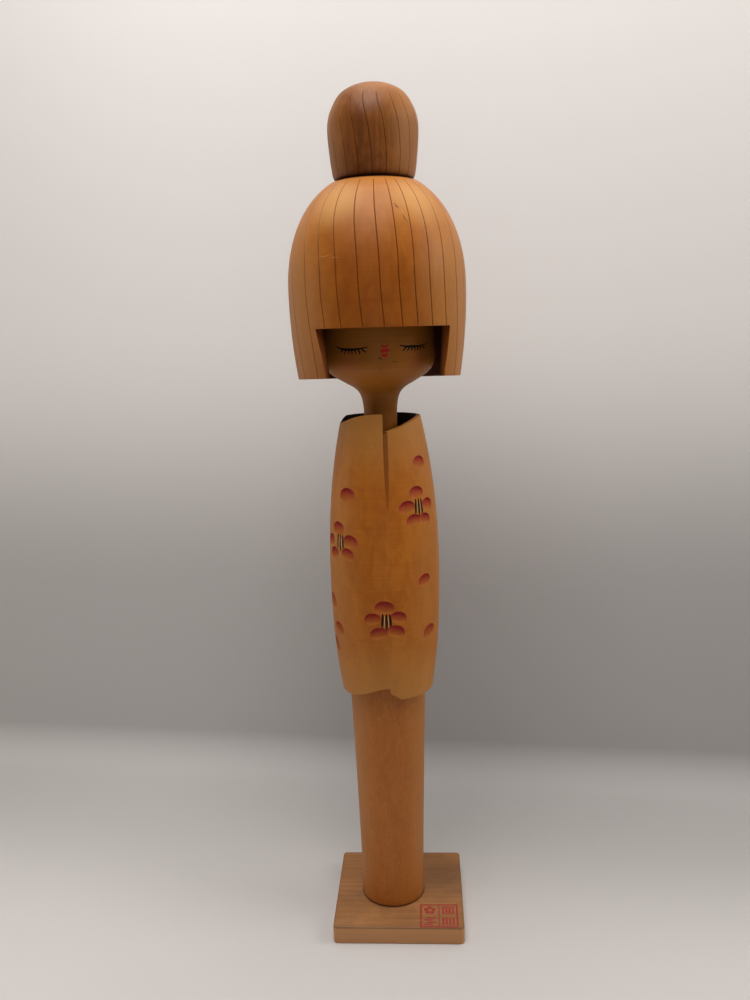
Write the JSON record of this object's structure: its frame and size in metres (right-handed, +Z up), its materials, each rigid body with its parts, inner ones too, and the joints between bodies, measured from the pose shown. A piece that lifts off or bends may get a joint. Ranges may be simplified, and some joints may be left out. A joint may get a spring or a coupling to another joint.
{
  "type": "kokeshi doll",
  "caption": "Turned wooden doll with a bobbed hair cap, topknot, carved kimono and round column on a square base; the head turns on its neck peg.",
  "frame": {"origin": "on the doll's own upright axis, at the underside of the base plate; the plate itself sits 3 mm to +X and 1 mm to +Y of it", "axes": "+Z up along the doll's axis, -Y towards the viewer that the doll faces, +X to the viewer's right; the base plate's sides are parallel to X and Y"},
  "size_m": [0.0726, 0.0726, 0.3585],
  "materials": {
    "plate_wood": "thin oiled finish on brown hardwood, crosswise grain, darkened edges, one red stamped square",
    "screw_steel": "dull bright steel",
    "column_wood": "waxed, pinkish tan with fine upright flecks",
    "kimono_wood": "waxed honey wood, gouged petals stained red, black inside the collar",
    "face_wood": "waxed, with fine painted eyes, nose and mouth",
    "hair_wood": "polished honey wood with fine engraved strands",
    "topknot_wood": "polished brown wood with fine engraved strands",
    "dowel_wood": "bare fluted dowel"
  },
  "bodies": {
    "body": {"base_plate": "plate_wood", "base_screw": "screw_steel", "leg_column": "column_wood", "kimono_body": "kimono_wood"},
    "head": {"face_and_neck": "face_wood", "hair_cap": "hair_wood", "topknot": "topknot_wood", "topknot_dowel": "dowel_wood"}
  },
  "joints": [
    {"name": "head_turn", "type": "hinge", "parent": "body", "child": "head", "pos_m": [0, 0, 0.196], "axis": [0, 0, 1], "continuous": true}
  ]
}
